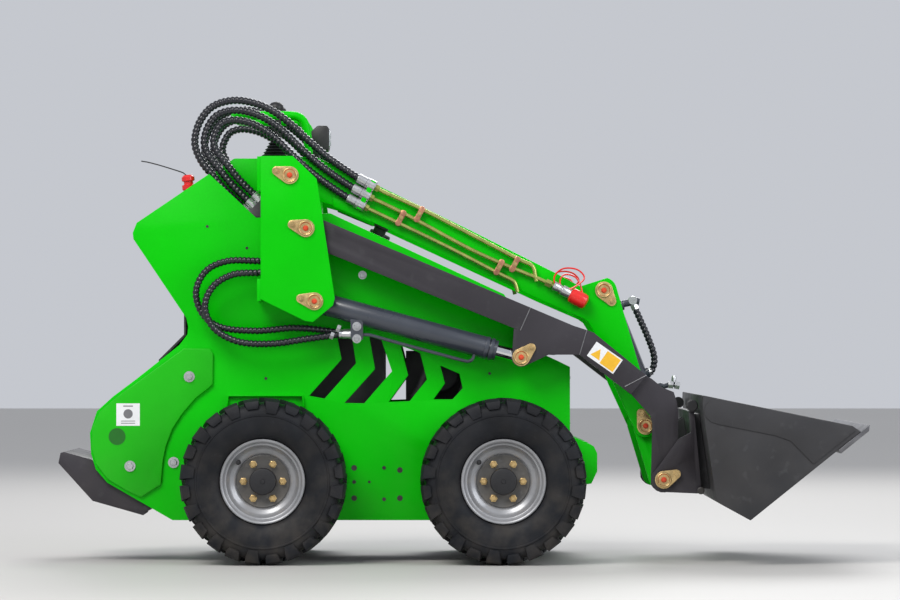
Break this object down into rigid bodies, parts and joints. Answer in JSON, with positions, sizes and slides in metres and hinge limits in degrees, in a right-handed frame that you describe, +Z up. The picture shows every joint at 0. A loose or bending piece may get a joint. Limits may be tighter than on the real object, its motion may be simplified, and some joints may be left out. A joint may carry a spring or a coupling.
{
  "type": "compact stand-on skid steer loader with a bucket",
  "caption": "Compact stand-on skid steer loader: parallelogram lift arms, curled bucket, four rubber-tyred wheels, rear foot platform and hydraulic hoses.",
  "frame": {"origin": "on the ground under the middle of the length and width", "axes": "+X forward to the bucket, +Y to the left, +Z up"},
  "size_m": [2.228, 1, 1.2907],
  "materials": {
    "green_paint": "bright glossy green enamel",
    "cover_paint": "slightly paler satin green enamel",
    "dark_paint": "satin charcoal enamel",
    "black_paint": "satin black enamel",
    "cylinder_paint": "satin slate enamel",
    "rim_paint": "silver grey enamel",
    "tyre": "matt black rubber",
    "hose_rubber": "spiral wrapped black rubber",
    "black_rubber": "matt black moulded rubber",
    "lamp_plastic": "black moulded plastic with a clear lens",
    "chromed_rod": "polished chrome",
    "bare_steel": "worn bare steel",
    "engine_iron": "dark cast iron"
  },
  "bodies": {
    "chassis": {"body_shell": "black_paint", "engine_block": "engine_iron", "foot_platform": "dark_paint", "nose_step": "green_paint", "console": "green_paint", "handrail": "green_paint", "work_lamp": "lamp_plastic", "side_plate_left": "green_paint", "side_plate_right": "green_paint", "rear_cover_left": "cover_paint", "rear_cover_right": "cover_paint", "tower_left": "green_paint", "tower_right": "green_paint", "control_lever_left": "black_rubber", "control_lever_right": "black_rubber", "wheel_motor_front_left": "black_paint", "wheel_motor_front_right": "black_paint", "wheel_motor_rear_left": "black_paint", "wheel_motor_rear_right": "black_paint", "lift_hose_left_1": "hose_rubber", "lift_hose_left_2": "hose_rubber", "lift_hose_right_1": "hose_rubber", "lift_hose_right_2": "hose_rubber", "arch_hose_left_1": "hose_rubber", "arch_hose_left_2": "hose_rubber", "arch_hose_left_3": "hose_rubber", "arch_hose_right_1": "hose_rubber", "arch_hose_right_2": "hose_rubber", "arch_hose_right_3": "hose_rubber"},
    "wheel_front_left": {"tyre_front_left": "tyre", "rim_front_left": "rim_paint"},
    "wheel_front_right": {"tyre_front_right": "tyre", "rim_front_right": "rim_paint"},
    "wheel_rear_left": {"tyre_rear_left": "tyre", "rim_rear_left": "rim_paint"},
    "wheel_rear_right": {"tyre_rear_right": "tyre", "rim_rear_right": "rim_paint"},
    "lower_arms": {"lower_arm_left": "dark_paint", "lower_arm_right": "dark_paint", "lower_cross_tube": "dark_paint"},
    "upper_arms": {"upper_arm_left": "green_paint", "upper_arm_right": "green_paint", "upper_cross": "green_paint", "tilt_pin": "bare_steel"},
    "link": {"coupler_link": "green_paint"},
    "attachment": {"hitch_frame": "dark_paint", "bucket": "dark_paint", "cutting_edge": "bare_steel"},
    "lift_barrel_left": {"lift_barrel_left": "cylinder_paint"},
    "lift_rod_left": {"lift_rod_left": "chromed_rod"},
    "lift_barrel_right": {"lift_barrel_right": "cylinder_paint"},
    "lift_rod_right": {"lift_rod_right": "chromed_rod"},
    "tilt_barrel": {"tilt_barrel": "cylinder_paint"},
    "tilt_rod": {"tilt_rod": "chromed_rod"}
  },
  "joints": [
    {"name": "spin_front_left", "type": "hinge", "parent": "chassis", "child": "wheel_front_left", "pos_m": [0.12, 0.375, 0.228], "axis": [0, 1, 0], "continuous": true},
    {"name": "spin_front_right", "type": "hinge", "parent": "chassis", "child": "wheel_front_right", "pos_m": [0.12, -0.375, 0.228], "axis": [0, 1, 0], "continuous": true},
    {"name": "spin_rear_left", "type": "hinge", "parent": "chassis", "child": "wheel_rear_left", "pos_m": [-0.537, 0.375, 0.228], "axis": [0, 1, 0], "continuous": true},
    {"name": "spin_rear_right", "type": "hinge", "parent": "chassis", "child": "wheel_rear_right", "pos_m": [-0.537, -0.375, 0.228], "axis": [0, 1, 0], "continuous": true},
    {"name": "lift", "type": "hinge", "parent": "chassis", "child": "lower_arms", "pos_m": [-0.423, 0, 0.922], "axis": [0, -1, 0], "range_deg": [0, 80]},
    {"name": "upper_arm_swing", "type": "hinge", "parent": "chassis", "child": "upper_arms", "pos_m": [-0.467, 0, 1.068], "axis": [0, -1, 0], "range_deg": [0, 80], "deforming": ["arch_hose_left_1", "arch_hose_left_2", "arch_hose_left_3", "arch_hose_right_1", "arch_hose_right_2", "arch_hose_right_3"]},
    {"name": "link_level", "type": "hinge", "parent": "lower_arms", "child": "link", "pos_m": [0.562, 0, 0.23], "axis": [0, -1, 0], "range_deg": [-80, 0]},
    {"name": "tilt", "type": "hinge", "parent": "link", "child": "attachment", "pos_m": [0.562, 0, 0.23], "axis": [0, 1, 0], "range_deg": [0, 80]},
    {"name": "lift_barrel_turn_left", "type": "hinge", "parent": "chassis", "child": "lift_barrel_left", "pos_m": [-0.399, 0.303, 0.721], "axis": [0, -1, 0], "range_deg": [0, 76.7], "deforming": ["lift_hose_left_1", "lift_hose_left_2"]},
    {"name": "lift_rod_slide_left", "type": "slide", "parent": "lift_barrel_left", "child": "lift_rod_left", "axis": [0.9653, 0, -0.2613], "range_m": [0, 0.26]},
    {"name": "lift_barrel_turn_right", "type": "hinge", "parent": "chassis", "child": "lift_barrel_right", "pos_m": [-0.399, -0.303, 0.721], "axis": [0, -1, 0], "range_deg": [0, 76.7], "deforming": ["lift_hose_right_1", "lift_hose_right_2"]},
    {"name": "lift_rod_slide_right", "type": "slide", "parent": "lift_barrel_right", "child": "lift_rod_right", "axis": [0.9653, 0, -0.2613], "range_m": [0, 0.26]},
    {"name": "tilt_barrel_turn", "type": "hinge", "parent": "upper_arms", "child": "tilt_barrel", "pos_m": [0.402, 0, 0.753], "axis": [0, -1, 0], "range_deg": [-16.7, 0]},
    {"name": "tilt_rod_slide", "type": "slide", "parent": "tilt_barrel", "child": "tilt_rod", "axis": [0.3642, 0, -0.9313], "range_m": [0, 0.117]}
  ],
  "couplings": [
    {"joint": "upper_arm_swing", "follows": "lift", "ratio": 1},
    {"joint": "link_level", "follows": "lift", "ratio": -1},
    {"joint": "lift_barrel_turn_left", "follows": "lift", "ratio": 0.952},
    {"joint": "lift_rod_slide_left", "follows": "lift", "m_per_rad": 0.1852},
    {"joint": "lift_barrel_turn_right", "follows": "lift", "ratio": 0.952},
    {"joint": "lift_rod_slide_right", "follows": "lift", "m_per_rad": 0.1852},
    {"joint": "tilt_barrel_turn", "follows": "lift", "ratio": -0.202},
    {"joint": "tilt_rod_slide", "follows": "tilt", "m_per_rad": 0.083}
  ]
}
